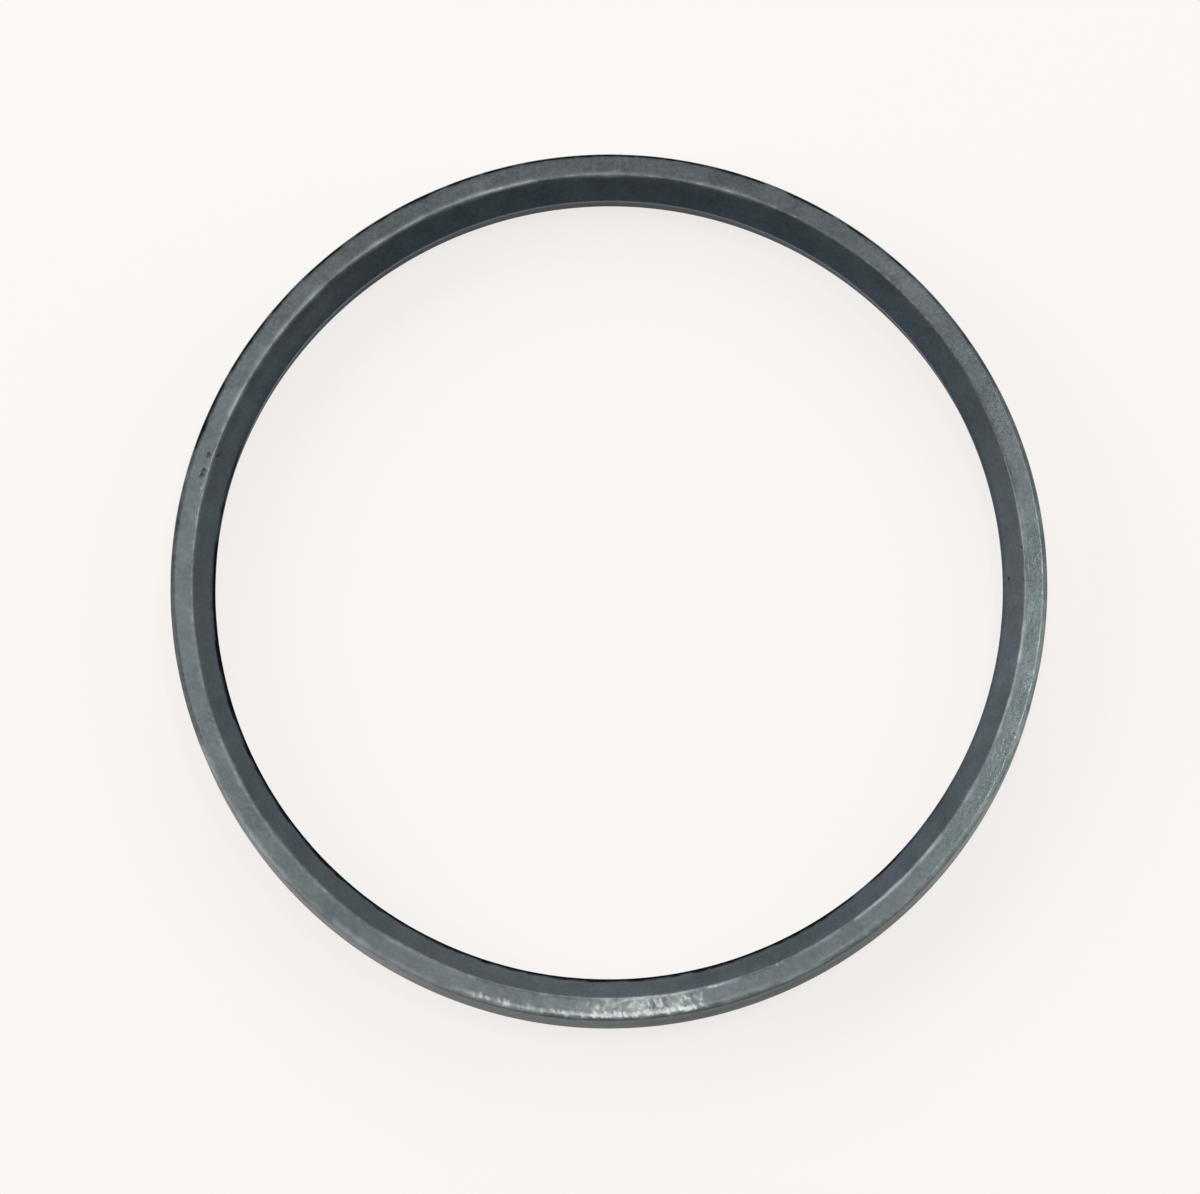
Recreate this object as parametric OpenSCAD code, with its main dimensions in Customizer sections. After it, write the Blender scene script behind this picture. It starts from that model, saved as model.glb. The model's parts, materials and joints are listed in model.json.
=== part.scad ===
// Hydraulic cylinder rod seal: one ring, moulded in rubber, with a bevelled lip.
// The ring lies on its flat back face with the lip side up.
// Sizes are in millimetres, Z is the ring's axis and z = 0 is the back face.

/* [Ring] */
// Diameter of the rod that the lip closes on
rod_d = 90; // [40:0.5:200]
// Radial thickness of the section, from the lip to the outer wall
section_w = 5; // [4:0.1:10]
// Height of the ring along its axis
ring_h = 9; // [6:0.1:16]

/* [Lip] */
// Radial width of the bevel that runs from the front face down to the lip
bevel_w = 2.5; // [1:0.1:3.5]
// Slope of the bevel, in degrees from the ring's axis
bevel_angle = 45; // [30:1:60]
// Height of the narrow land at the lip that bears on the rod
land_h = 0.8; // [0.4:0.1:1.5]
// How far the inner wall draws back from the lip at the back face
relief_w = 0.6; // [0.2:0.05:1.2]

/* [Edges] */
// Radius on the outer edge of the front face
front_outer_r = 0.4; // [0.1:0.05:0.8]
// Radius where the front face turns into the bevel
front_inner_r = 0.3; // [0.1:0.05:0.8]
// Radius on the lip's upper and lower edges
lip_edge_r = 0.2; // [0.05:0.05:0.4]
// Radius on the outer edge of the back face
back_outer_r = 0.4; // [0.1:0.05:0.8]
// Radius on the inner edge of the back face
back_inner_r = 0.3; // [0.1:0.05:0.8]

/* [Hidden] */
$fn = 180;

rubber_grey = [0.36, 0.39, 0.40];

// Radii of the section, out from the ring's axis
lip_r = rod_d / 2;
outer_r = lip_r + section_w;
bevel_top_r = lip_r + bevel_w;
foot_r = lip_r + relief_w;

// Heights of the lip, up from the back face
lip_top_z = ring_h - bevel_w / tan(bevel_angle);
lip_bottom_z = lip_top_z - land_h;

// Turn between neighbouring points of a rounded edge, in degrees
arc_step = 9;

// Corners of the section, anticlockwise from the foot, each as [radius, height, edge radius]
section_corners = [
    [foot_r, 0, back_inner_r],
    [outer_r, 0, back_outer_r],
    [outer_r, ring_h, front_outer_r],
    [bevel_top_r, ring_h, front_inner_r],
    [lip_r, lip_top_z, lip_edge_r],
    [lip_r, lip_bottom_z, lip_edge_r]
];

function unit(v) = v / norm(v);
function corner_point(corners, i) = [for (k = [0, 1]) corners[i % len(corners)][k]];

// Points of the arc that rounds corner i of a convex outline, from the side before it to the side after it
function corner_arc(corners, i) =
    let (
        corner = corner_point(corners, i),
        radius = corners[i][2],
        to_last = unit(corner_point(corners, i + len(corners) - 1) - corner),
        to_next = unit(corner_point(corners, i + 1) - corner),
        half_angle = acos(to_last * to_next) / 2,
        centre = corner + unit(to_last + to_next) * radius / sin(half_angle),
        turn = 180 - 2 * half_angle,
        start = atan2(to_last[0], -to_last[1]),
        steps = ceil(turn / arc_step)
    )
    [for (k = [0 : steps]) centre + radius * [cos(start + turn * k / steps), sin(start + turn * k / steps)]];

// A convex outline, listed anticlockwise, with an arc in each corner
module rounded_outline(corners) {
    polygon([for (i = [0 : len(corners) - 1]) each corner_arc(corners, i)]);
}

// The whole seal is one moulding: its section turned once round the axis
module seal_ring() {
    color(rubber_grey)
        rotate_extrude()
            rounded_outline(section_corners);
}

seal_ring();
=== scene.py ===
"""A hydraulic cylinder seal: one ring of moulded rubber that lies, lip side up, on a pale table.

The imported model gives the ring's place and size. This script builds the ring again as a fine mesh that
carries its wear, gives it its rubber finish, and lights and frames it from the photograph's side.
"""

import json
import logging
import math
import random
from collections.abc import Iterable, Mapping
from dataclasses import dataclass, field
from enum import Enum
from typing import Any, ClassVar

import bmesh
import bpy
from mathutils import Matrix, Vector, geometry, kdtree, noise


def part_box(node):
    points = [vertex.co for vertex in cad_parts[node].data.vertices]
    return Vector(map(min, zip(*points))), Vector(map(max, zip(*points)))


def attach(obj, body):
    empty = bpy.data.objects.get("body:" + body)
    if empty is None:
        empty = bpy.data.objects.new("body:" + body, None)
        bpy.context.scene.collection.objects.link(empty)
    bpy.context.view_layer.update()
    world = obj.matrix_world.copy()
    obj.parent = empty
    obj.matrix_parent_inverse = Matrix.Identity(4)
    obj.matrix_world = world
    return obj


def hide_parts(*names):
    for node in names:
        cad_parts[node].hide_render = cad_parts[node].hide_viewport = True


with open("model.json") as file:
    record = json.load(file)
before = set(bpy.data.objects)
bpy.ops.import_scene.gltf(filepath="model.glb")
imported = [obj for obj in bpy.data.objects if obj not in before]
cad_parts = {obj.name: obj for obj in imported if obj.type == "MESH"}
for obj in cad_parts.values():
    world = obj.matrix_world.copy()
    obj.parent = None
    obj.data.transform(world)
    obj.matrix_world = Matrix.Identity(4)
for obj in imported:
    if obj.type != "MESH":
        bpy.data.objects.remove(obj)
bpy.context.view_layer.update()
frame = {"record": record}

log = logging.getLogger("seal")

MM = 0.001
NODE = "seal_ring"
BODY = "root"
LIP_MOUNT = "rod_lip"

# Numbers of a Mix node's two inputs and of its output, for colours and for plain values.
COLOUR_A, COLOUR_B, COLOUR_OUT = 6, 7, 2
VALUE_A, VALUE_B, VALUE_OUT = 2, 3, 0


def linear(hex_colour: str) -> tuple[float, float, float, float]:
    """Turn an sRGB hex colour into the linear colour that a shader takes.

    Args:
        hex_colour: Six hex digits after a hash mark.

    Returns:
        Linear red, green and blue, with an alpha of 1.
    """
    shares = [int(hex_colour[i : i + 2], 16) / 255 for i in (1, 3, 5)]
    red, green, blue = (s / 12.92 if s <= 0.04045 else ((s + 0.055) / 1.055) ** 2.4 for s in shares)
    return (red, green, blue, 1.0)


def add_node(
    tree: bpy.types.NodeTree, kind: str, inputs: Mapping[str | int, Any] | None = None, **settings: Any
) -> bpy.types.Node:
    """Add one shader node, with its settings, values and links.

    Args:
        tree: The node tree that takes the node.
        kind: Blender's name for the node's type.
        inputs: What each input holds, by its name or number: a value, or the output that feeds it.
        settings: The node's own properties.

    Returns:
        The new node.
    """
    node = tree.nodes.new(kind)
    for name, value in settings.items():
        setattr(node, name, value)
    for key, value in (inputs or {}).items():
        if isinstance(value, bpy.types.NodeSocket):
            tree.links.new(value, node.inputs[key])
        else:
            node.inputs[key].default_value = value
    return node


def mesh_object(name: str, bm: bmesh.types.BMesh) -> bpy.types.Object:
    """Turn a bmesh into an object of the scene, and free the bmesh.

    Args:
        name: Name of the object and of its mesh.
        bm: The shape, in metres.

    Returns:
        The new object, at the origin.
    """
    mesh = bpy.data.meshes.new(name)
    bm.to_mesh(mesh)
    bm.free()
    piece = bpy.data.objects.new(name, mesh)
    bpy.context.scene.collection.objects.link(piece)
    return piece


class MarkKind(Enum):
    """Kinds of mark in the rubber, each named for the mesh attribute that shows where it is. Some are
    wear, and some are painted light, painted highlight and painted shade.
    """

    # Pits are real dents, and the rubber paints their insides dark as painted shade.
    PIT = "pitted"
    # Pale scrapes and specks: partly real scuffs and partly painted glare, glints and highlights.
    SCRAPE_AND_GLINT = "scraped"
    # Pale marks: partly worn rubber and partly painted light and painted highlight.
    RUB_AND_PAINTED_LIGHT = "rubbed"
    # Dark marks: painted shade.
    PAINTED_SHADE = "grimed"
    NICK = "nicked"

    @property
    def fine(self) -> bool:
        """Whether the mark is small enough to need a finer mesh."""
        return self in (MarkKind.PIT, MarkKind.SCRAPE_AND_GLINT)


@dataclass(frozen=True)
class Mark:
    """A shallow mark along a short line. A pit's line has no length.

    Attributes:
        kind: What the mark looks like.
        start: One end of the line, in millimetres.
        end: The other end.
        width: Width of the mark, in millimetres.
        depth: Depth at its middle, in millimetres.
        tone: How fully the mark takes its kind's colour, from 0 to 1.
        fine_rag: Size of the ragged steps in a fine mark's border, in millimetres.
        broad_rag: Size of those in a broad mark's border.
        ragged_share: How far the border strays, as a share of the mark's width.
    """

    kind: MarkKind
    start: Vector
    end: Vector
    width: float
    depth: float
    tone: float = 1.0

    fine_rag: ClassVar[float] = 0.35
    broad_rag: ClassVar[float] = 1.3
    ragged_share: ClassVar[float] = 0.45

    @property
    def middle(self) -> Vector:
        """Middle of the line."""
        return (self.start + self.end) / 2

    @property
    def reach(self) -> float:
        """Distance from the middle past which the mark leaves the rubber alone."""
        return (self.end - self.start).length / 2 + self.width / 2 * (1 + self.ragged_share)

    def strength_at(self, place: Vector) -> float:
        """Tell how strong the mark is at a place.

        Args:
            place: A point of the surface, in millimetres.

        Returns:
            A share from 0, outside the mark, to 1, along its line.
        """
        line = self.end - self.start
        share = 0.0
        if line.length > 0:
            _, share = geometry.intersect_point_line(place, self.start, self.end)
        nearest = self.start + line * min(max(share, 0.0), 1.0)
        rag = self.fine_rag if self.kind.fine else self.broad_rag
        ragged = 1 + self.ragged_share * noise.noise(place / rag)
        near = 1 - min((place - nearest).length / (self.width / 2 * ragged), 1.0)
        return near * near * (3 - 2 * near)


def on_ring(azimuth: float, radius: float, height: float) -> Vector:
    """Give a point by its turn round the ring's axis.

    Args:
        azimuth: Turn from +X, in degrees.
        radius: Distance from the axis.
        height: Height above the back face.

    Returns:
        The point, in the units of radius and height.
    """
    turn = math.radians(azimuth)
    return Vector((radius * math.cos(turn), radius * math.sin(turn), height))


@dataclass(frozen=True)
class LipSection:
    """The seal's section, in millimetres.

    Attributes:
        outer_r: Radius of the outer wall.
        height: Height of the ring.
        lip_r: Radius of the lip.
        bevel_w: Width and depth of the bevel between the front face and the lip.
        land_h: Height of the land at the lip.
        relief_w: How far the inner wall draws back below the land.
        front_outer_edge: Radius on the outer edge of the front face.
        front_inner_edge: Radius where the front face turns into the bevel.
        lip_edge: Radius on the land's two edges.
        back_outer_edge: Radius on the outer edge of the back face.
        back_inner_edge: Radius on the inner edge of the back face.
    """

    outer_r: float
    height: float
    lip_r: float
    bevel_w: float = 2.5
    land_h: float = 0.8
    relief_w: float = 0.6
    front_outer_edge: float = 0.4
    front_inner_edge: float = 0.3
    lip_edge: float = 0.2
    back_outer_edge: float = 0.4
    back_inner_edge: float = 0.3

    @classmethod
    def of_frame(cls) -> "LipSection":
        """Take the ring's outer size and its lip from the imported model."""
        _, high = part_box(NODE)
        lip = next(mount for mount in frame["record"]["mounts"] if mount["name"] == LIP_MOUNT)
        return cls(outer_r=high[0] / MM, height=high[2] / MM, lip_r=lip["dims"]["r_mm"])

    @property
    def bevel_top_r(self) -> float:
        """Radius where the bevel meets the front face."""
        return self.lip_r + self.bevel_w

    @property
    def lip_z(self) -> float:
        """Height of the bevel's lower end."""
        return self.height - self.bevel_w

    def corners(self) -> list[tuple[Vector, float]]:
        """List the section's corners, anticlockwise from the foot.

        Returns:
            Each corner as a point in the XZ plane and the radius of its edge.
        """
        land_z = self.lip_z - self.land_h
        return [
            (Vector((self.lip_r + self.relief_w, 0, 0)), self.back_inner_edge),
            (Vector((self.outer_r, 0, 0)), self.back_outer_edge),
            (Vector((self.outer_r, 0, self.height)), self.front_outer_edge),
            (Vector((self.bevel_top_r, 0, self.height)), self.front_inner_edge),
            (Vector((self.lip_r, 0, self.lip_z)), self.lip_edge),
            (Vector((self.lip_r, 0, land_z)), self.lip_edge),
        ]


class MarkLine(Enum):
    """Lines round the ring along which it wears, and along which light and shade are painted."""

    OUTER_WALL = "middle of the outer wall"
    FRONT_OUTER = "outer edge of the front face"
    RIM = "front face beside its outer edge"
    FACE = "middle of the front face"
    FRONT_INNER = "inner edge of the front face"
    BEVEL = "middle of the bevel"
    LIP = "lip"
    INNER_WALL = "middle of the inner wall"


@dataclass(frozen=True)
class MarkedStretch:
    """A stretch of one of those lines with marks: some stretches are worn by use and handling, and
    others carry painted light, painted highlight and painted shade.

    Attributes:
        line: The line that it lies on.
        kind: What the marks look like.
        first: Azimuth at which the stretch starts, in degrees.
        last: Azimuth at which it ends.
        count: How many marks it has.
        tone: How fully they take their kind's colour.
        length: Length of the longest mark, in millimetres.
        width: Width of the widest mark, in millimetres.
        depth: Depth of the deepest mark, in millimetres.
    """

    line: MarkLine
    kind: MarkKind
    first: float
    last: float
    count: int
    tone: float
    length: float
    width: float
    depth: float = 0.0


@dataclass(frozen=True)
class ScuffAndGlarePatch:
    """A scuffed place on the front face: its pale marks are partly real scuffs and partly a painted
    highlight of glare.

    Attributes:
        middle: Azimuth of its middle, in degrees.
        spread: Turn from there within which its marks lie.
        rubs: How many broad, pale rubs lie under the others.
        strokes: How many strokes run across the face.
        dots: How many dots lie along the outer edge.
        tone: How strong its marks are beside those of the worst patch.
        length: Shortest, longest and most common length of a stroke or a rub, in millimetres.
        slant: How far strokes typically lean along the ring, in millimetres.
        rub_width: Narrowest and widest rub, in millimetres.
        rub_tone: Faintest and strongest rub.
        stroke_width: Narrowest and widest stroke, in millimetres.
        stroke_tone: Faintest, strongest and most common stroke.
        dot_inset: Least and greatest distance of a dot from the face's outer edge, in millimetres.
        dot_across: Least and greatest length of a dot across the face, in millimetres.
        dot_along: Least and greatest length of a dot along the edge, in millimetres.
        dot_width: Narrowest and widest dot, in millimetres.
        dot_tone: Faintest and strongest dot.
        depth: Depth of the shallowest and of the deepest scrape, in millimetres.
    """

    middle: float
    spread: float
    rubs: int
    strokes: int
    dots: int
    tone: float = 1.0

    length: ClassVar[tuple[float, float, float]] = (0.15, 1.2, 0.3)
    slant: ClassVar[float] = 0.42
    rub_width: ClassVar[tuple[float, float]] = (1.2, 2.4)
    rub_tone: ClassVar[tuple[float, float]] = (0.06, 0.13)
    stroke_width: ClassVar[tuple[float, float]] = (0.3, 0.6)
    stroke_tone: ClassVar[tuple[float, float, float]] = (0.05, 0.6, 0.16)
    dot_inset: ClassVar[tuple[float, float]] = (0.05, 0.4)
    dot_across: ClassVar[tuple[float, float]] = (0.0, 0.45)
    dot_along: ClassVar[tuple[float, float]] = (0.05, 0.25)
    dot_width: ClassVar[tuple[float, float]] = (0.32, 0.65)
    dot_tone: ClassVar[tuple[float, float]] = (0.4, 1.0)
    depth: ClassVar[tuple[float, float]] = (0.004, 0.012)

    def azimuth(self, chance: random.Random) -> float:
        """Choose an azimuth within the patch, more often near its middle."""
        return chance.triangular(self.middle - self.spread, self.middle + self.spread)


@dataclass(frozen=True)
class MarkPlan:
    """Where the seal is worn, and where light and shade are painted on it: pits, specks, scuffs and
    stretches, with the marks in them laid by chance.

    Attributes:
        section: The section that the marks lie on.
        seed: Seed of the chance marks.
        pits: Azimuth, distance from the axis, width and depth of each pit.
        specks: Azimuth, distance from the axis, width and tone of each pale speck, a painted highlight.
        scuffs: The scuffed places on the front face, partly painted glare.
        stretches: The stretches of the lines round the ring: worn ones, and ones of painted light,
            painted highlight and painted shade.
        face_margin: Bare strip that scuffs leave inside the front face's two edges, in millimetres.
        arc_inset: How far in the outer edge's line lies, as a share of that edge's radius.
        arc_drop: How far below the front face it lies, as a share of that radius.
        rim_inset: How far in the rim's line lies, as a share of that radius.
        inner_inset: How far the inner edge's line lies out from the bevel, in millimetres.
        lip_inset: How far up the bevel the lip's line lies, in millimetres.
        sway: How far a mark strays from its line, in millimetres.
        length_share: Length of the shortest mark and of the longest, as shares of a stretch's length.
        size_share: Least and greatest width and depth, as shares of a stretch's own.
        tone_share: Least and greatest tone, as shares of a stretch's own.
    """

    section: LipSection
    seed: int = 7
    pits: tuple[tuple[float, float, float, float], ...] = (
        (161.7, 48.14, 0.5, 0.10),
        (164.0, 48.13, 0.55, 0.10),
        (164.7, 48.21, 0.5, 0.09),
        (161.5, 47.10, 0.55, 0.10),
        (1.0, 45.60, 0.6, 0.16),
        (5.0, 47.25, 0.5, 0.12),
        (0.6, 47.20, 0.4, 0.08),
    )
    specks: tuple[tuple[float, float, float, float], ...] = (
        # The pale specks on the inner edge of the front face are painted highlights.
        (166.5, 47.81, 0.45, 0.5),
        (105.0, 47.60, 0.45, 0.5),
        (-66.4, 47.65, 0.5, 0.6),
    )
    # The scuffs on the near side of the front face are partly real scuffs and partly a painted highlight
    # of glare.
    scuffs: tuple[ScuffAndGlarePatch, ...] = (
        ScuffAndGlarePatch(-90.2, 2.8, 20, 22, 16),
        ScuffAndGlarePatch(-85.5, 3.2, 12, 26, 16),
        ScuffAndGlarePatch(-80.4, 3.4, 20, 28, 20),
        ScuffAndGlarePatch(-92.0, 17.0, 46, 0, 60, 0.6),
    )
    # Each has its line, kind, first and last azimuth, count, tone, length, width and, at times, depth.
    stretches: tuple[MarkedStretch, ...] = (
        # The pale line along the inner edge of the front face is partly a worn edge and partly a painted
        # highlight, its strength set stretch by stretch round the ring. The pale marks on that edge by
        # the scuffs are partly scuffs and partly painted glints.
        MarkedStretch(MarkLine.FRONT_INNER, MarkKind.RUB_AND_PAINTED_LIGHT, -92, -72, 30, 0.14, 4.0, 0.8),
        MarkedStretch(MarkLine.FRONT_INNER, MarkKind.RUB_AND_PAINTED_LIGHT, -72, -52, 24, 0.055, 6.0, 0.8),
        MarkedStretch(MarkLine.FRONT_INNER, MarkKind.RUB_AND_PAINTED_LIGHT, -52, -36, 24, 0.16, 6.0, 0.9),
        MarkedStretch(MarkLine.FRONT_INNER, MarkKind.RUB_AND_PAINTED_LIGHT, -36, -6, 40, 0.11, 6.0, 0.9),
        MarkedStretch(MarkLine.FRONT_INNER, MarkKind.RUB_AND_PAINTED_LIGHT, -6, 12, 24, 0.06, 6.0, 1.3),
        MarkedStretch(MarkLine.FRONT_INNER, MarkKind.RUB_AND_PAINTED_LIGHT, 70, 166, 110, 0.075, 7.0, 1.4),
        MarkedStretch(MarkLine.FRONT_INNER, MarkKind.RUB_AND_PAINTED_LIGHT, 166, 268, 90, 0.045, 7.0, 1.1),
        MarkedStretch(MarkLine.FRONT_INNER, MarkKind.RUB_AND_PAINTED_LIGHT, 40, 360, 60, 0.25, 0.8, 0.4),
        MarkedStretch(MarkLine.FRONT_INNER, MarkKind.SCRAPE_AND_GLINT, -84, -73, 12, 0.35, 0.3, 0.55),
        # The dark broken line along the outer edge is painted shade.
        MarkedStretch(MarkLine.FRONT_OUTER, MarkKind.PAINTED_SHADE, -93, -81, 24, 0.25, 2.4, 0.4),
        MarkedStretch(MarkLine.FRONT_OUTER, MarkKind.PAINTED_SHADE, 12, 28, 26, 0.04, 2.4, 0.5),
        MarkedStretch(MarkLine.FRONT_OUTER, MarkKind.PAINTED_SHADE, 28, 46, 50, 0.1, 3.0, 0.7),
        MarkedStretch(MarkLine.FRONT_OUTER, MarkKind.PAINTED_SHADE, 46, 60, 40, 0.19, 3.0, 0.75),
        MarkedStretch(MarkLine.FRONT_OUTER, MarkKind.PAINTED_SHADE, 60, 160, 310, 0.25, 3.0, 0.75),
        MarkedStretch(MarkLine.FRONT_OUTER, MarkKind.PAINTED_SHADE, 160, 184, 50, 0.22, 2.4, 0.5),
        # The pale stretches of the outer edge are painted light, which lightens the rounded edge where
        # the lamps leave it dark.
        MarkedStretch(MarkLine.FRONT_OUTER, MarkKind.RUB_AND_PAINTED_LIGHT, -112, -46, 160, 0.045, 7.0, 0.8),
        MarkedStretch(MarkLine.FRONT_OUTER, MarkKind.RUB_AND_PAINTED_LIGHT, -46, -22, 60, 0.05, 7.0, 1.2),
        MarkedStretch(MarkLine.FRONT_OUTER, MarkKind.RUB_AND_PAINTED_LIGHT, -22, -4, 40, 0.05, 7.0, 1.2),
        MarkedStretch(MarkLine.FRONT_OUTER, MarkKind.RUB_AND_PAINTED_LIGHT, -4, 10, 18, 0.03, 7.0, 1.2),
        MarkedStretch(MarkLine.FRONT_OUTER, MarkKind.RUB_AND_PAINTED_LIGHT, -158, -112, 220, 0.028, 7.0, 1.4),
        # The pale stretches beside the outer edge on the near side are partly worn rubber and partly a
        # painted highlight of glare.
        MarkedStretch(MarkLine.RIM, MarkKind.RUB_AND_PAINTED_LIGHT, -111, -97, 24, 0.1, 5.0, 0.9),
        MarkedStretch(MarkLine.RIM, MarkKind.RUB_AND_PAINTED_LIGHT, -98, -81, 32, 0.14, 5.0, 0.9),
        MarkedStretch(MarkLine.RIM, MarkKind.RUB_AND_PAINTED_LIGHT, -79, -52, 40, 0.04, 6.0, 0.9),
        # The two faint pale stretches lighten the face and the bevel a little, and the faint dark
        # stretch of the bevel on the near side is painted shade.
        MarkedStretch(MarkLine.FACE, MarkKind.RUB_AND_PAINTED_LIGHT, 40, 49, 26, 0.009, 6.0, 3.6),
        MarkedStretch(MarkLine.BEVEL, MarkKind.RUB_AND_PAINTED_LIGHT, 128, 158, 60, 0.004, 12.0, 5.0),
        MarkedStretch(MarkLine.BEVEL, MarkKind.PAINTED_SHADE, 276, 306, 60, 0.009, 12.0, 5.0),
        # The dark line along the lip, strongest on the near and left sides, is painted shade.
        MarkedStretch(MarkLine.LIP, MarkKind.PAINTED_SHADE, 156, 177, 70, 0.09, 4.0, 0.9),
        MarkedStretch(MarkLine.LIP, MarkKind.PAINTED_SHADE, 174, 305, 620, 0.5, 4.0, 1.0),
        MarkedStretch(MarkLine.LIP, MarkKind.PAINTED_SHADE, 302, 316, 40, 0.16, 4.0, 0.9),
        MarkedStretch(MarkLine.LIP, MarkKind.PAINTED_SHADE, 314, 330, 40, 0.09, 4.0, 0.9),
        # The faint dark stretch of the inner wall on the far left is painted shade.
        MarkedStretch(MarkLine.INNER_WALL, MarkKind.PAINTED_SHADE, 114, 180, 200, 0.014, 14.0, 8.0),
        # The outer wall is painted lighter at the two sides as painted light, and darker on the near
        # side as painted shade.
        MarkedStretch(MarkLine.OUTER_WALL, MarkKind.RUB_AND_PAINTED_LIGHT, -158, -116, 126, 0.007, 6.0, 12.0),
        MarkedStretch(MarkLine.OUTER_WALL, MarkKind.PAINTED_SHADE, -88, -52, 110, 0.014, 6.0, 12.0),
        MarkedStretch(MarkLine.OUTER_WALL, MarkKind.RUB_AND_PAINTED_LIGHT, -44, -20, 75, 0.01, 6.0, 12.0),
        MarkedStretch(MarkLine.OUTER_WALL, MarkKind.RUB_AND_PAINTED_LIGHT, -20, 4, 75, 0.016, 6.0, 12.0),
        MarkedStretch(MarkLine.FRONT_OUTER, MarkKind.NICK, -180, 180, 40, 1.0, 0.9, 0.5, 0.04),
        MarkedStretch(MarkLine.FRONT_INNER, MarkKind.NICK, -180, 180, 25, 1.0, 0.9, 0.5, 0.015),
    )

    face_margin: ClassVar[tuple[float, float]] = (0.15, 0.05)
    arc_inset: ClassVar[float] = 0.5
    arc_drop: ClassVar[float] = 0.14
    rim_inset: ClassVar[float] = 1.5
    inner_inset: ClassVar[float] = 0.1
    lip_inset: ClassVar[float] = 0.12
    sway: ClassVar[float] = 0.05
    length_share: ClassVar[tuple[float, float]] = (0.1, 1.0)
    size_share: ClassVar[tuple[float, float]] = (0.5, 1.0)
    tone_share: ClassVar[tuple[float, float]] = (0.4, 1.25)

    def height_at(self, radius: float) -> float:
        """Height of the front face or of the bevel at a distance from the axis."""
        return self.section.height - max(self.section.bevel_top_r - radius, 0.0)

    def marks(self) -> list[Mark]:
        """List every mark.

        Returns:
            The pits and specks, then the scuffs, then the marks of the worn stretches.
        """
        chance = random.Random(self.seed)
        return [*self._pits(), *self._scuffs(chance), *self._stretch_marks(chance)]

    def _line(
        self, azimuth: float, radius: float, across: float, along: float, drop: float = 0.0
    ) -> tuple[Vector, Vector]:
        """Give the ends of a line on the front of the ring, or below it.

        Args:
            azimuth: Azimuth of its middle, in degrees.
            radius: Distance of its middle from the axis.
            across: How far it runs out from the axis, in millimetres.
            along: How far it runs round the ring, in millimetres.
            drop: How far below the front it lies, in millimetres.

        Returns:
            Its two ends.
        """
        turn = math.degrees(along / radius)
        radii = (radius - across / 2, radius + across / 2)
        turns = (azimuth - turn / 2, azimuth + turn / 2)
        first, last = (on_ring(a, r, self.height_at(r) - drop) for a, r in zip(turns, radii))
        return first, last

    def _pits(self) -> Iterable[Mark]:
        """Pits and pale specks at the places that the photograph shows."""
        for azimuth, radius, width, depth in self.pits:
            yield Mark(MarkKind.PIT, *self._line(azimuth, radius, 0.0, 0.0), width, depth)
        # Each pale speck is a painted highlight.
        for azimuth, radius, width, tone in self.specks:
            yield Mark(MarkKind.SCRAPE_AND_GLINT, *self._line(azimuth, radius, 0.0, 0.0), width, 0.0, tone)

    def _scuffs(self, chance: random.Random) -> Iterable[Mark]:
        """Broad rubs, strokes that run mostly across the face, and dots along its outer edge: partly
        real scuffs and partly a painted highlight of glare.
        """
        inner_margin, outer_margin = self.face_margin
        inner = self.section.bevel_top_r + inner_margin
        outer = self.section.outer_r - self.section.front_outer_edge - outer_margin
        for patch in self.scuffs:
            for i in range(patch.rubs + patch.strokes):
                broad = i < patch.rubs
                across = chance.triangular(*patch.length)
                radius = chance.uniform(inner + across / 2, outer - across / 2)
                azimuth = patch.azimuth(chance)
                line = self._line(azimuth, radius, across, chance.gauss(0, patch.slant))
                width = chance.uniform(*(patch.rub_width if broad else patch.stroke_width))
                depth = 0.0 if broad else chance.uniform(*patch.depth)
                if broad:
                    tone = chance.uniform(*patch.rub_tone)
                else:
                    tone = chance.triangular(*patch.stroke_tone)
                yield Mark(MarkKind.RUB_AND_PAINTED_LIGHT if broad else MarkKind.SCRAPE_AND_GLINT, *line, width, depth, tone * patch.tone)
            for _ in range(patch.dots):
                radius = outer - chance.uniform(*patch.dot_inset)
                azimuth = patch.azimuth(chance)
                across = chance.uniform(*patch.dot_across)
                line = self._line(azimuth, radius, across, chance.uniform(*patch.dot_along))
                width = chance.uniform(*patch.dot_width)
                tone = chance.uniform(*patch.dot_tone)
                yield Mark(MarkKind.SCRAPE_AND_GLINT, *line, width, chance.uniform(*patch.depth), tone * patch.tone)

    def _stretch_marks(self, chance: random.Random) -> Iterable[Mark]:
        """Marks along the stretches, worn and painted alike, each at its line's radius and its drop
        below the front.
        """
        lip_r, outer_r, bevel_r = self.section.lip_r, self.section.outer_r, self.section.bevel_top_r
        edge = self.section.front_outer_edge
        places = {
            MarkLine.OUTER_WALL: (outer_r, self.section.height / 2),
            MarkLine.FRONT_OUTER: (outer_r - edge * self.arc_inset, edge * self.arc_drop),
            MarkLine.RIM: (outer_r - edge * self.rim_inset, 0.0),
            MarkLine.FACE: ((bevel_r + outer_r) / 2, 0.0),
            MarkLine.FRONT_INNER: (bevel_r + self.inner_inset, 0.0),
            MarkLine.BEVEL: ((lip_r + bevel_r) / 2, 0.0),
            MarkLine.LIP: (lip_r + self.lip_inset, 0.0),
            MarkLine.INNER_WALL: (lip_r + self.section.relief_w / 2, self.section.lip_z / 2),
        }
        for stretch in self.stretches:
            middle_r, drop = places[stretch.line]
            for _ in range(stretch.count):
                azimuth = chance.uniform(stretch.first, stretch.last)
                radius = middle_r + chance.uniform(-self.sway, self.sway)
                along = chance.uniform(*self.length_share) * stretch.length
                line = self._line(azimuth, radius, 0.0, along, drop)
                width = chance.uniform(*self.size_share) * stretch.width
                depth = chance.uniform(*self.size_share) * stretch.depth
                tone = stretch.tone * chance.uniform(*self.tone_share)
                yield Mark(stretch.kind, *line, width, depth, tone)


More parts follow.
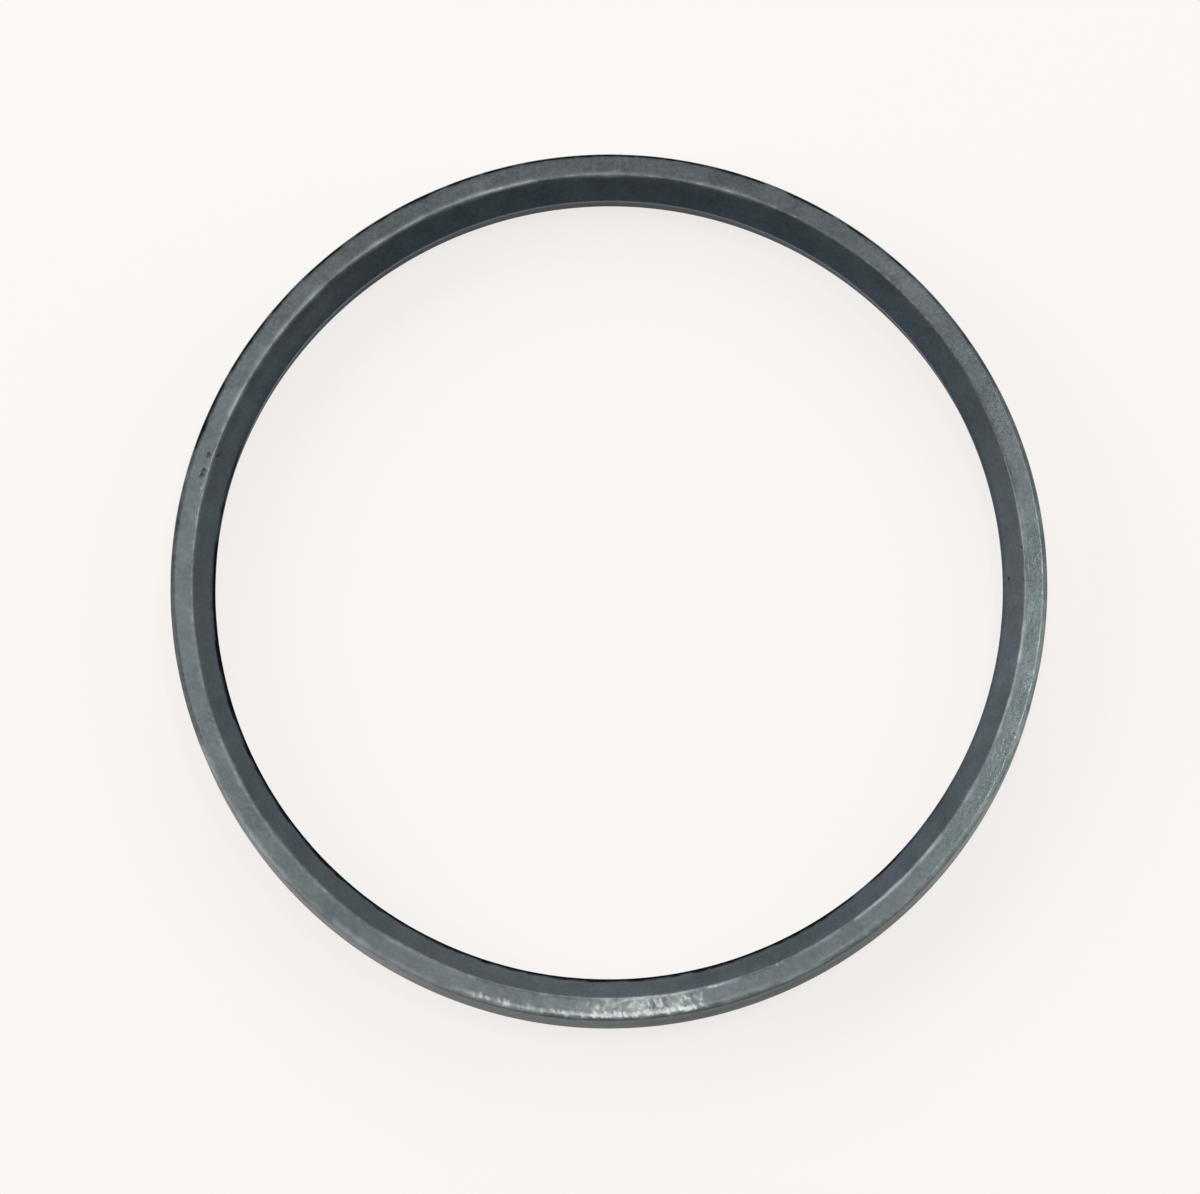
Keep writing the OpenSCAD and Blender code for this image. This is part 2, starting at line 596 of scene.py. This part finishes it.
@dataclass
class SealRing:
    """The seal: its section turned round the axis, worn, and dressed in rubber.

    Attributes:
        section: The section that is turned.
        marks: The marks on the ring: wear, and painted light and shade.
        sectors: Equal sectors that make up the ring.
        sector_steps: Facets along each sector.
        arc_segments: Segments in each rounded edge.
        fine_step: Spacing of points along the front face and the bevel, in millimetres.
        plain_step: Spacing along the other walls, in millimetres.
        fine_cuts: Cuts in each edge of the mesh where it has a fine mark.
        weld: Distance within which points of neighbouring sectors are one, in millimetres.
        wave_size: Width of the moulding's faint waves, in millimetres.
        wave_depth: Depth of those waves, in millimetres.
    """

    section: LipSection
    marks: list[Mark] = field(default_factory=list)
    sectors: int = 24
    sector_steps: int = 45
    arc_segments: int = 5
    fine_step: float = 0.22
    plain_step: float = 1.4
    fine_cuts: int = 2
    weld: float = 0.001
    wave_size: float = 3.0
    wave_depth: float = 0.012

    def build(self) -> bpy.types.Object:
        """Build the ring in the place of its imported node.

        Returns:
            The finished piece, which replaces the node and rides on its body.
        """
        bm = bmesh.new()
        self._outline(bm)
        self._turn(bm)
        self._wave(bm)
        self._press_marks(bm)
        bmesh.ops.scale(bm, vec=Vector((MM, MM, MM)), verts=bm.verts)
        for face in bm.faces:
            face.smooth = True
        piece = mesh_object("seal_ring_dressed", bm)
        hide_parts(NODE)
        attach(piece, BODY)
        return piece

    def dress(self, piece: bpy.types.Object, rubber: "MouldedNitrile") -> None:
        """Give the ring its rubber finish."""
        piece.data.materials.append(rubber.material(self.section))

    def _outline(self, bm: bmesh.types.BMesh) -> None:
        """Draw the section as a closed line with rounded corners and evenly divided sides."""
        corners = self.section.corners()
        face = bm.faces.new([bm.verts.new(place) for place, _ in corners])
        places = [place for place, _ in corners]
        for i, vert in enumerate(list(face.verts)):
            to_last = (places[i - 1] - places[i]).normalized()
            to_next = (places[(i + 1) % len(places)] - places[i]).normalized()
            tangent = corners[i][1] / math.tan(to_last.angle(to_next) / 2)
            bmesh.ops.bevel(
                bm, geom=[vert], offset=tangent, offset_type="OFFSET", segments=self.arc_segments,
                profile=0.5, affect="VERTICES", material=-1, clamp_overlap=True,
            )
        bmesh.ops.delete(bm, geom=bm.faces[:], context="FACES_ONLY")
        for edge in bm.edges[:]:
            high = (edge.verts[0].co.z + edge.verts[1].co.z) / 2 > self.section.lip_z
            step = self.fine_step if high else self.plain_step
            cuts = math.ceil(edge.calc_length() / step) - 1
            if cuts > 0:
                bmesh.ops.subdivide_edges(bm, edges=[edge], cuts=cuts)

    def _turn(self, bm: bmesh.types.BMesh) -> None:
        """Turn the outline through one sector, and then repeat the sector round the axis."""
        sector = math.tau / self.sectors
        common = {"cent": (0, 0, 0), "axis": (0, 0, 1), "dvec": (0, 0, 0), "space": Matrix()}
        bmesh.ops.spin(
            bm, geom=[*bm.verts, *bm.edges], angle=sector, steps=self.sector_steps,
            use_duplicate=False, **common,
        )
        bmesh.ops.spin(
            bm, geom=[*bm.verts, *bm.edges, *bm.faces], angle=math.tau - sector, steps=self.sectors - 1,
            use_duplicate=True, **common,
        )
        bmesh.ops.remove_doubles(bm, verts=bm.verts, dist=self.weld)
        bmesh.ops.recalc_face_normals(bm, faces=bm.faces)
        bm.normal_update()

    def _wave(self, bm: bmesh.types.BMesh) -> None:
        """Give the front of the ring the faint waves of a moulding that has lain about."""
        for vert in bm.verts:
            front = min(max(vert.co.z / self.section.lip_z, 0.0), 1.0)
            wave = noise.noise(vert.co / self.wave_size)
            vert.co += vert.normal * (self.wave_depth * wave * front)

    def _press_marks(self, bm: bmesh.types.BMesh) -> None:
        """Divide the mesh finely where it is marked, and press the marks into it."""
        tree = self._tree(bm)
        fine = (mark for mark in self.marks if mark.kind.fine)
        marked = {i for mark in fine for _, i, _ in tree.find_range(mark.middle, mark.reach)}
        edges = [edge for edge in bm.edges if all(vert.index in marked for vert in edge.verts)]
        bmesh.ops.subdivide_edges(bm, edges=edges, cuts=self.fine_cuts, use_grid_fill=True)
        bm.normal_update()
        layers = {kind: bm.verts.layers.float.new(kind.value) for kind in MarkKind}
        tree = self._tree(bm)
        for mark in self.marks:
            for place, i, _ in tree.find_range(mark.middle, mark.reach):
                vert = bm.verts[i]
                strength = mark.strength_at(place)
                vert[layers[mark.kind]] = min(vert[layers[mark.kind]] + strength * mark.tone, 1.0)
                vert.co -= vert.normal * (mark.depth * strength)
        # Faces beside a finely cut place have many corners, and are split so that no sliver is left.
        crowded = [face for face in bm.faces if len(face.verts) > 4]
        bmesh.ops.triangulate(bm, faces=crowded, quad_method="BEAUTY", ngon_method="BEAUTY")

    @staticmethod
    def _tree(bm: bmesh.types.BMesh) -> kdtree.KDTree:
        """Index the mesh's points, so that those near a mark are found at once."""
        bm.verts.index_update()
        bm.verts.ensure_lookup_table()
        tree = kdtree.KDTree(len(bm.verts))
        for vert in bm.verts:
            tree.insert(vert.co, vert.index)
        tree.balance()
        return tree


class Mottle(Enum):
    """Patterns that the rubber's two colours follow."""

    BLOOM = "blotches with a fine grain"
    GRIT = "grain alone"


@dataclass(frozen=True)
class Skin:
    """How one zone of the rubber looks.

    Attributes:
        dark: Colour at the pattern's low places.
        light: Colour at its high places.
        roughness: Roughness of the surface.
        specular: Strength of its sheen, where 0.5 is that of clean rubber.
        mottle: The pattern.
    """

    dark: str
    light: str
    roughness: float
    specular: float
    mottle: Mottle = Mottle.BLOOM


@dataclass(frozen=True)
class MouldedNitrile:
    """Nitrile rubber, compression moulded and then trimmed to its lip.

    The front face has a soft sheen over a grey bloom that lies in faint blotches. The blade leaves the
    bevel darker and bluer, and the lip is painted a little paler, as painted light. The walls are dull.
    Pale marks on the edges, the faces and the walls are partly worn rubber and partly painted light and
    painted highlight, and dark marks, most of all along the lip and the outer edge, are painted shade.

    Attributes:
        face: The front face.
        outer_wall: The outer wall.
        inner_wall: The inner wall below the lip.
        bevel: The trimmed bevel.
        lip: The foot of the bevel and the land at the lip, painted paler as painted light.
        round_edge_painted_light: The rounded outer edge of the front face, painted lighter than the face
            as a painted sheen.
        painted_shade: Painted shade, darkest where it lies thickest.
        rub_and_painted_light: Pale rubber, partly worn by handling and partly painted light and painted
            highlight.
        scrape_and_glint: Scrapes and scuffs, partly painted glare and glints, and the pale specks, which
            are painted highlights.
        pit: The inside of a pit, painted dark as the shade in it.
        ior: Index of refraction of filled rubber.
        tint: Colour that the rubber drifts towards round the ring.
        drift: Width of the stretches over which it drifts, in millimetres.
        blotch: Width of the bloom's blotches, in millimetres.
        grain: Width of the moulded grain, in millimetres, drawn coarser than the real grit so it shows.
        trim_line: Width of the blade's fine lines on the bevel, in millimetres.
        trim_length: Length of those lines, in millimetres.
        relief: Depth of the grain and of the blade's lines, in millimetres.
        relief_share: How strongly that relief shows in the sheen.
        contrast: The range of a noise that a pattern stretches to its full range.
        border: Half of the width over which most zones blend into each other, in millimetres.
        ragged_border: Width over which those with a ragged border do, in millimetres.
        lip_fade: How far from the lip its painted paler colour fades out, in millimetres.
    """

    face: Skin = Skin("#3F4147", "#63646B", 0.2, 0.5)
    outer_wall: Skin = Skin("#3E494B", "#626F72", 0.5, 0.2, Mottle.GRIT)
    inner_wall: Skin = Skin("#1F2931", "#2C3740", 0.55, 0.06, Mottle.GRIT)
    bevel: Skin = Skin("#2A343B", "#424D56", 0.45, 0.5)
    # The lip's paler colour is painted light.
    lip: Skin = Skin("#38444F", "#47525E", 0.4, 0.1)
    # The rounded outer edge is painted lighter than the face: a painted sheen in place of the one that
    # its dull finish loses.
    round_edge_painted_light: Skin = Skin("#464A4E", "#696D71", 0.5, 0.2)
    # The darkest colour is painted shade.
    painted_shade: Skin = Skin("#0B0C0D", "#17191B", 0.6, 0.0)
    # The pale colour is partly worn rubber and partly painted light and painted highlight.
    rub_and_painted_light: Skin = Skin("#A0A4A7", "#C4C7CA", 0.22, 0.5)
    # The palest colour is partly scuffed rubber and partly painted glare and glints.
    scrape_and_glint: Skin = Skin("#CAC4C6", "#FAF4F5", 0.3, 0.5)
    # The inside of a pit is painted dark, as painted shade.
    pit: Skin = Skin("#15181A", "#1D2022", 0.6, 0.2)
    ior: float = 1.53
    tint: str = "#F8FFFC"
    drift: float = 22.0
    blotch: float = 4.0
    grain: float = 0.4
    trim_line: float = 0.25
    trim_length: float = 10.0
    relief: float = 0.03
    relief_share: float = 0.3
    contrast: tuple[float, float] = (0.35, 0.65)
    border: float = 0.1
    ragged_border: float = 0.15
    lip_fade: float = 0.6

    def material(self, section: LipSection) -> bpy.types.Material:
        """Make the rubber.

        Args:
            section: The section that says where the bevel, the lip and the edges are.

        Returns:
            The finished material.
        """
        rubber = bpy.data.materials.new("Nitrile rubber, compression moulded")
        rubber.use_nodes = True
        tree = rubber.node_tree
        tree.nodes.clear()
        place = add_node(tree, "ShaderNodeTexCoord").outputs["Object"]
        sizes = {"drift": self.drift, "blotch": self.blotch, "grain": self.grain}
        noises = {
            name: add_node(
                tree, "ShaderNodeTexNoise",
                {"Vector": place, "Scale": 1 / (size * MM), "Detail": 3.0, "Roughness": 0.55},
            ).outputs["Fac"]
            for name, size in sizes.items()
        }
        plan = add_node(
            tree, "ShaderNodeVectorMath", {0: place, 1: (1 / MM, 1 / MM, 0)}, operation="MULTIPLY"
        ).outputs["Vector"]
        radius = add_node(tree, "ShaderNodeVectorMath", {0: plan}, operation="LENGTH").outputs["Value"]
        mottle = add_node(
            tree, "ShaderNodeMath", {0: noises["blotch"], 1: noises["grain"]}, operation="ADD"
        ).outputs[0]
        low, high = self.contrast
        spans = {Mottle.BLOOM: (mottle, 2 * low, 2 * high), Mottle.GRIT: (noises["grain"], low, high)}
        patterns = {
            name: add_node(
                tree, "ShaderNodeMapRange", {"Value": value, "From Min": least, "From Max": most}
            ).outputs["Result"]
            for name, (value, least, most) in spans.items()
        }
        lines = self._trim_lines(tree, plan, radius)
        zones = self._zones(tree, section, place, radius, noises)
        colour, roughness, specular = self._layers(tree, zones, patterns)
        drift = add_node(
            tree, "ShaderNodeMapRange", {"Value": noises["drift"], "From Min": low, "From Max": high}
        ).outputs["Result"]
        colour = add_node(
            tree, "ShaderNodeMix", {"Factor": drift, COLOUR_A: colour, COLOUR_B: linear(self.tint)},
            data_type="RGBA", blend_type="MULTIPLY",
        ).outputs[COLOUR_OUT]

        trimmed = add_node(
            tree, "ShaderNodeMix",
            {"Factor": zones["bevel"], VALUE_A: noises["grain"], VALUE_B: lines}, data_type="FLOAT",
        ).outputs[VALUE_OUT]
        # The grain gives the flat face its broken sheen, and the blade's lines run round the bevel.
        relief = add_node(
            tree, "ShaderNodeBump",
            {"Height": trimmed, "Strength": self.relief_share, "Distance": self.relief * MM},
        ).outputs["Normal"]
        skin = add_node(
            tree, "ShaderNodeBsdfPrincipled",
            {
                "Base Color": colour, "Roughness": roughness, "IOR": self.ior,
                "Specular IOR Level": specular, "Normal": relief,
            },
        ).outputs["BSDF"]
        add_node(tree, "ShaderNodeOutputMaterial", {"Surface": skin})
        return rubber

    def _trim_lines(
        self, tree: bpy.types.NodeTree, plan: bpy.types.NodeSocket, radius: bpy.types.NodeSocket
    ) -> bpy.types.NodeSocket:
        """Draw the fine lines that the blade leaves round the bevel.

        Args:
            tree: The tree that takes the nodes.
            plan: Place in plan, in millimetres.
            radius: Distance from the axis, in millimetres.

        Returns:
            A noise that changes fast across the bevel and slowly round the ring.
        """
        round_ring = add_node(
            tree, "ShaderNodeVectorMath", {0: plan, "Scale": 1 / self.trim_length}, operation="SCALE"
        ).outputs["Vector"]
        across = add_node(
            tree, "ShaderNodeMath", {0: radius, 1: self.trim_line}, operation="DIVIDE"
        ).outputs[0]
        aside = add_node(tree, "ShaderNodeCombineXYZ", {"Z": across}).outputs["Vector"]
        stretched = add_node(
            tree, "ShaderNodeVectorMath", {0: round_ring, 1: aside}, operation="ADD"
        ).outputs["Vector"]
        return add_node(tree, "ShaderNodeTexNoise", {"Vector": stretched, "Scale": 1.0}).outputs["Fac"]

    def _zones(
        self,
        tree: bpy.types.NodeTree,
        section: LipSection,
        place: bpy.types.NodeSocket,
        radius: bpy.types.NodeSocket,
        noises: Mapping[str, bpy.types.NodeSocket],
    ) -> dict[str, bpy.types.NodeSocket]:
        """Find the zones of the ring by distance from the axis and by height.

        Args:
            tree: The tree that takes the nodes.
            section: The section that says where the zones are.
            place: Place on the ring, in metres.
            radius: Distance from the axis, in millimetres.
            noises: The noises, by name. The grain makes the zones' borders ragged.

        Returns:
            A share from 0 to 1 for each zone, by name.
        """
        up = add_node(tree, "ShaderNodeSeparateXYZ", {0: place}).outputs["Z"]
        height = add_node(tree, "ShaderNodeMath", {0: up, 1: MM}, operation="DIVIDE").outputs[0]
        wander = add_node(
            tree, "ShaderNodeMapRange",
            {"Value": noises["grain"], "To Min": -self.border, "To Max": self.border},
        ).outputs["Result"]
        edge_r = add_node(tree, "ShaderNodeMath", {0: radius, 1: wander}, operation="ADD").outputs[0]
        rim_r = section.outer_r - section.front_outer_edge
        rim_z = section.height - section.front_outer_edge
        land_z = section.lip_z - section.land_h
        lip_r, bevel_r = section.lip_r, section.bevel_top_r
        steps = {
            "above lip": (height, section.lip_z - 2 * self.border, section.lip_z),
            "below lip": (height, land_z + self.border, land_z - self.border),
            "above land": (height, land_z - self.border, land_z + self.border),
            "under face": (height, rim_z + self.border, rim_z - self.border),
            "over rim": (height, rim_z - self.border, rim_z + self.border),
            "near lip": (edge_r, lip_r + self.lip_fade, lip_r + self.border),
            "in bevel": (edge_r, bevel_r, bevel_r - self.ragged_border),
            "inside": (radius, bevel_r, bevel_r - self.border),
            "by rim": (edge_r, rim_r - self.ragged_border, rim_r),
            "outside": (radius, rim_r, section.outer_r - self.border / 2),
        }
        rises = {
            name: add_node(
                tree, "ShaderNodeMapRange", {"Value": value, "From Min": low, "From Max": high},
                interpolation_type="SMOOTHSTEP",
            ).outputs["Result"]
            for name, (value, low, high) in steps.items()
        }
        # The lip zone carries painted light, and the rounded edge's zone a painted sheen.
        meetings = {
            "outer wall": ("outside", "under face"),
            "inner wall": ("inside", "below lip"),
            "bevel": ("in bevel", "above lip"),
            "lip": ("near lip", "above land"),
            "round edge": ("by rim", "over rim"),
        }
        zones = {
            name: add_node(
                tree, "ShaderNodeMath", {0: rises[first], 1: rises[second]}, operation="MULTIPLY"
            ).outputs[0]
            for name, (first, second) in meetings.items()
        }
        # These attributes show where the rubber is worn and where light, highlights and shade are
        # painted.
        for kind in (MarkKind.PAINTED_SHADE, MarkKind.RUB_AND_PAINTED_LIGHT, MarkKind.SCRAPE_AND_GLINT, MarkKind.PIT):
            zones[kind.value] = add_node(
                tree, "ShaderNodeAttribute", attribute_name=kind.value, attribute_type="GEOMETRY"
            ).outputs["Fac"]
        return zones

    def _layers(
        self,
        tree: bpy.types.NodeTree,
        zones: Mapping[str, bpy.types.NodeSocket],
        patterns: Mapping[Mottle, bpy.types.NodeSocket],
    ) -> list[bpy.types.NodeSocket]:
        """Lay the zones' skins over that of the front face.

        Args:
            tree: The tree that takes the nodes.
            zones: The zones' shares, by name.
            patterns: Each pattern, from 0 to 1.

        Returns:
            The colour, the roughness and the strength of the sheen.
        """
        # Several skins are painted light and shade: the paler lip, the lighter rounded edge, the pale
        # marks, the dark marks and the dark pits.
        skins = {
            "outer wall": self.outer_wall,
            "inner wall": self.inner_wall,
            "bevel": self.bevel,
            "lip": self.lip,
            "round edge": self.round_edge_painted_light,
            MarkKind.PAINTED_SHADE.value: self.painted_shade,
            MarkKind.RUB_AND_PAINTED_LIGHT.value: self.rub_and_painted_light,
            MarkKind.SCRAPE_AND_GLINT.value: self.scrape_and_glint,
            MarkKind.PIT.value: self.pit,
        }
        whole: list[Any] = [None, self.face.roughness, self.face.specular]
        for name, skin in {"face": self.face, **skins}.items():
            dark, light = linear(skin.dark), linear(skin.light)
            colour = add_node(
                tree, "ShaderNodeMix",
                {"Factor": patterns[skin.mottle], COLOUR_A: dark, COLOUR_B: light}, data_type="RGBA",
            ).outputs[COLOUR_OUT]
            if name == "face":
                whole[0] = colour
                continue
            over = (colour, skin.roughness, skin.specular)
            value = ("FLOAT", VALUE_A, VALUE_B, VALUE_OUT)
            kinds = (("RGBA", COLOUR_A, COLOUR_B, COLOUR_OUT), value, value)
            for i, (data_type, below, above, output) in enumerate(kinds):
                whole[i] = add_node(
                    tree, "ShaderNodeMix", {"Factor": zones[name], below: whole[i], above: over[i]},
                    data_type=data_type,
                ).outputs[output]
        return whole


@dataclass(frozen=True)
class Table:
    """The pale table under the seal.

    Attributes:
        colour: Colour of the table.
        half_size: Half of its side, in metres.
        shadow: Share of the lamps' shade that the camera sees on it.
    """

    colour: str = "#FDF9F6"
    half_size: float = 4.0
    shadow: float = 0.18

    def build(self) -> bpy.types.Object:
        """Lay the table under the ring.

        Returns:
            The table, which is no part of the seal.
        """
        bm = bmesh.new()
        bmesh.ops.create_grid(bm, x_segments=1, y_segments=1, size=self.half_size)
        floor = mesh_object("table", bm)
        floor.data.materials.append(self._paint())
        return floor

    def _paint(self) -> bpy.types.Material:
        """Matte paint that looks evenly pale, and still takes a faint shadow."""
        paint = bpy.data.materials.new("Matte white table paint")
        paint.use_nodes = True
        tree = paint.node_tree
        tree.nodes.clear()
        path = add_node(tree, "ShaderNodeLightPath").outputs
        seen = path["Is Camera Ray"]
        for other in ("Is Glossy Ray", "Is Transmission Ray"):
            seen = add_node(
                tree, "ShaderNodeMath", {0: seen, 1: path[other]}, operation="MAXIMUM"
            ).outputs[0]
        even = add_node(
            tree, "ShaderNodeMath", {0: seen, 1: 1 - self.shadow}, operation="MULTIPLY"
        ).outputs[0]
        lit = add_node(tree, "ShaderNodeBsdfDiffuse", {"Color": linear(self.colour)}).outputs["BSDF"]
        flat = add_node(
            tree, "ShaderNodeEmission", {"Color": linear(self.colour), "Strength": 1.0}
        ).outputs["Emission"]
        mixed = add_node(tree, "ShaderNodeMixShader", {0: even, 1: lit, 2: flat}).outputs["Shader"]
        add_node(tree, "ShaderNodeOutputMaterial", {"Surface": mixed})
        return paint


@dataclass(frozen=True)
class SoftLamp:
    """An oblong lamp that faces the seal.

    Attributes:
        name: Name of the lamp.
        place: Where it hangs, in metres.
        size: Its width, across the view from the camera, and its length, in metres.
        watts: Its power.
        colour: Colour of its light.
    """

    name: str
    place: tuple[float, float, float]
    size: tuple[float, float]
    watts: float
    colour: str = "#FFFFFF"

    def build(self, target: Vector) -> bpy.types.Object:
        """Hang the lamp.

        Args:
            target: The point that it faces.

        Returns:
            The lamp.
        """
        data = bpy.data.lights.new(self.name, "AREA")
        data.shape = "RECTANGLE"
        data.size, data.size_y = self.size
        data.energy = self.watts
        data.color = linear(self.colour)[:3]
        lamp = bpy.data.objects.new(self.name, data)
        lamp.location = self.place
        lamp.rotation_euler = (target - lamp.location).to_track_quat("-Z", "Y").to_euler()
        bpy.context.scene.collection.objects.link(lamp)
        return lamp


@dataclass(frozen=True)
class Studio:
    """The lamps and the soft light of the room.

    Attributes:
        lamps: The lamps.
        room: Colour of the room's light.
        room_strength: Strength of the room's light.
    """

    lamps: tuple[SoftLamp, ...] = (
        SoftLamp("ceiling lamp, left", (-0.137, 0.188, 1.209), (0.08, 0.08), 0.3, "#E7FFFA"),
        SoftLamp("ceiling lamp, right", (0.222, 0.153, 1.209), (0.08, 0.08), 2.1, "#E7FFFA"),
        SoftLamp("ceiling lamp, near", (-0.016, 0.046, 1.209), (0.08, 0.08), 0.28, "#E7FFFA"),
        SoftLamp("far window", (0.0, 1.1, 0.7), (0.9, 0.9), 8.0),
        SoftLamp("left window", (-1.1, 0.2, 0.7), (0.9, 0.9), 11.4),
        SoftLamp("right window", (1.1, 0.2, 0.7), (0.9, 0.9), 6.0),
    )
    room: str = "#FFFFFF"
    room_strength: float = 0.05

    def build(self, target: Vector) -> None:
        """Hang every lamp and set the room's light.

        Args:
            target: The point that the lamps face.
        """
        for lamp in self.lamps:
            lamp.build(target)
        world = bpy.data.worlds.new("room light")
        world.use_nodes = True
        world.node_tree.nodes.clear()
        glow = add_node(
            world.node_tree, "ShaderNodeBackground",
            {"Color": linear(self.room), "Strength": self.room_strength},
        ).outputs["Background"]
        add_node(world.node_tree, "ShaderNodeOutputWorld", {"Surface": glow})
        bpy.context.scene.world = world
        bpy.context.scene.view_settings.view_transform = "Standard"


@dataclass(frozen=True)
class PhotoCamera:
    """The camera, as the photograph's outlines place it.

    Attributes:
        distance: Distance from the middle of the front face, in millimetres.
        tilt: Lean of the view from the ring's axis, in degrees.
        azimuth: Side that the camera leans to, in degrees from +X.
        frame_width: Width of the photograph, in pixels.
        pixels_per_mm: Scale of the front face in the photograph.
        centre_right: How far right of the photograph's middle the front face is centred, in pixels.
        centre_up: How far above the photograph's middle it is centred, in pixels.
        sensor: Width of the sensor, in millimetres.
        far_end: Distance past which nothing is seen, in metres.
    """

    distance: float = 1000.0
    tilt: float = 8.79
    azimuth: float = -84.85
    frame_width: float = 1200.0
    pixels_per_mm: float = 8.774
    centre_right: float = 8.5
    centre_up: float = 13.1
    sensor: float = 36.0
    far_end: float = 20.0

    def build(self, centre: Vector) -> bpy.types.Object:
        """Set up the camera.

        Args:
            centre: Middle of the ring's front face, in metres.

        Returns:
            The camera, as the scene's own.
        """
        turn, lean = math.radians(self.azimuth), math.radians(self.tilt)
        aslant = math.sin(lean)
        back = Vector((aslant * math.cos(turn), aslant * math.sin(turn), math.cos(lean)))
        along_y = Vector((0, 1, 0))
        up = (along_y - back * along_y.dot(back)).normalized()
        right = up.cross(back)
        aside = (right * self.centre_right + up * self.centre_up) * (MM / self.pixels_per_mm)
        data = bpy.data.cameras.new("photo camera")
        data.sensor_fit = "HORIZONTAL"
        data.sensor_width = self.sensor
        data.lens = self.sensor * self.pixels_per_mm * self.distance / self.frame_width
        data.clip_end = self.far_end
        camera = bpy.data.objects.new("photo camera", data)
        stand = centre - aside + back * (self.distance * MM)
        facing = Matrix((right, up, back)).transposed().to_4x4()
        camera.matrix_world = Matrix.Translation(stand) @ facing
        bpy.context.scene.collection.objects.link(camera)
        bpy.context.scene.camera = camera
        return camera


def main() -> None:
    """Build the seal, its table, the light and the camera, and note the sizes."""
    logging.basicConfig(level=logging.INFO, format="%(name)s: %(message)s")
    section = LipSection.of_frame()
    front_centre = Vector((0, 0, section.height * MM))
    camera = PhotoCamera().build(front_centre)
    log.info("%s: %.0f mm lens", camera.name, camera.data.lens)

    ring = SealRing(section, MarkPlan(section).marks())
    piece = ring.build()
    ring.dress(piece, MouldedNitrile())
    log.info("%s: %d faces, %d marks", piece.name, len(piece.data.polygons), len(ring.marks))

    table = Table().build()
    log.info("%s: stage", table.name)
    Studio().build(front_centre)


if __name__ == "__main__":
    main()
